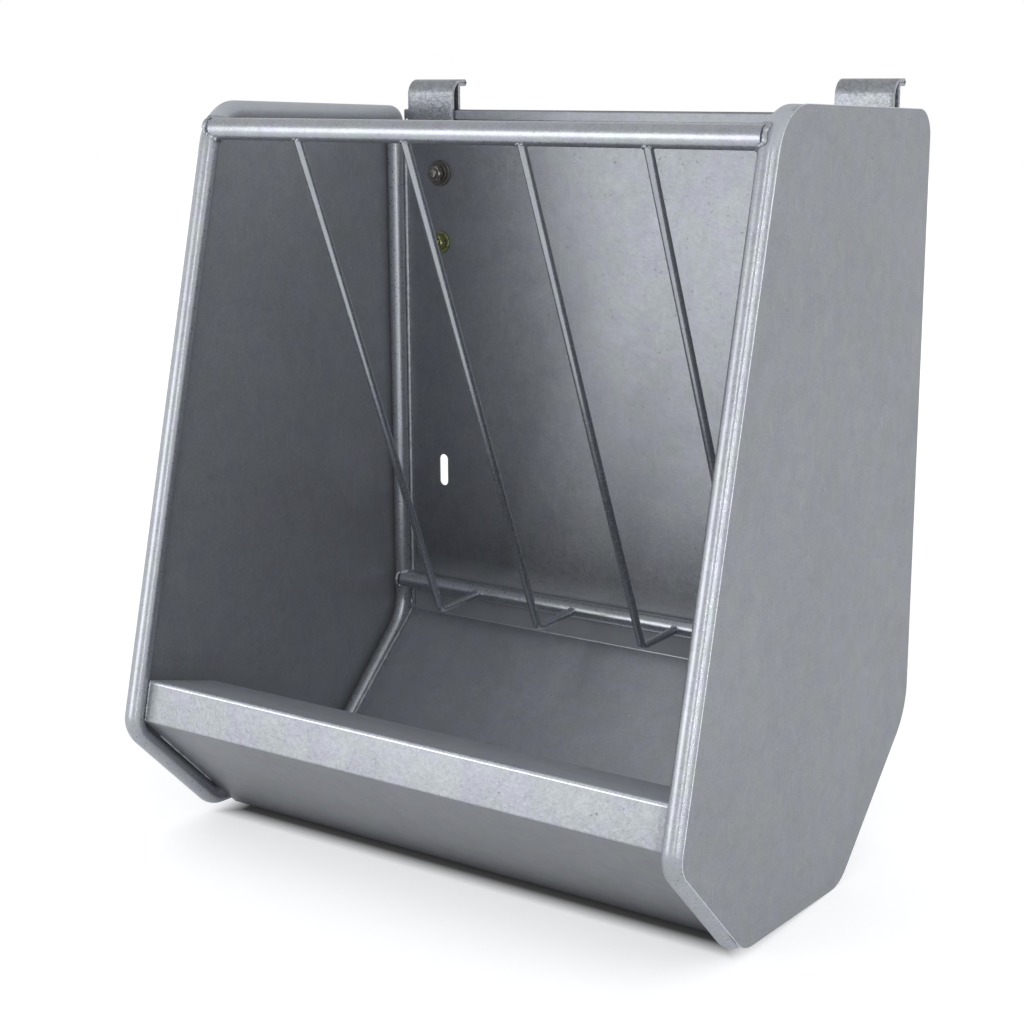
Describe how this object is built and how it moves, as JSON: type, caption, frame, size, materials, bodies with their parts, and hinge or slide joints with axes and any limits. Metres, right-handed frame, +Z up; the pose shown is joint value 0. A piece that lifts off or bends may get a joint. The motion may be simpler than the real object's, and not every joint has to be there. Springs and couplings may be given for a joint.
{
  "type": "wall-hung horse feeder",
  "caption": "Galvanised steel horse feeder for a wall: a sloping hay rack of round rods over a folded sheet trough, hung by strap hooks.",
  "frame": {"origin": "middle of the feeder's width and depth, on the floor it stands on", "axes": "+X to the feeder's right seen from the front, +Y towards the wall, +Z up"},
  "size_m": [0.74, 0.5442, 0.871],
  "materials": {
    "side_sheet_metal": "hot-dip galvanised sheet, dull spangle",
    "frame_tube_metal": "hot-dip galvanised tube, bright",
    "bar_metal": "hot-dip galvanised tube, bright",
    "rod_metal": "hot-dip galvanised round bar",
    "pan_metal": "hot-dip galvanised sheet, dull spangle",
    "panel_metal": "hot-dip galvanised sheet, dull spangle",
    "hook_metal": "hot-dip galvanised flat bar, coarse spangle",
    "yellow_zinc": "yellow passivated zinc plate",
    "fixing_steel": "dull zinc plate"
  },
  "bodies": {
    "root": {"back_panel": "panel_metal", "bolt_left_lower": "fixing_steel", "bolt_left_upper": "fixing_steel", "bolt_right_lower": "fixing_steel", "bolt_right_upper": "fixing_steel", "hay_rod_1": "rod_metal", "hay_rod_2": "rod_metal", "hay_rod_3": "rod_metal", "hay_rod_4": "rod_metal", "hook_left": "hook_metal", "hook_right": "hook_metal", "lower_bar": "bar_metal", "nut_left_lower": "fixing_steel", "nut_left_upper": "fixing_steel", "nut_right_lower": "fixing_steel", "nut_right_upper": "fixing_steel", "side_sheet_left": "side_sheet_metal", "side_sheet_right": "side_sheet_metal", "side_tube_left": "frame_tube_metal", "side_tube_right": "frame_tube_metal", "small_washer_left_upper": "fixing_steel", "small_washer_right_upper": "fixing_steel", "top_bar": "bar_metal", "trough_pan": "pan_metal", "washer_left_lower": "yellow_zinc", "washer_right_lower": "yellow_zinc", "wide_washer_left_upper": "fixing_steel", "wide_washer_right_upper": "fixing_steel"}
  },
  "joints": []
}
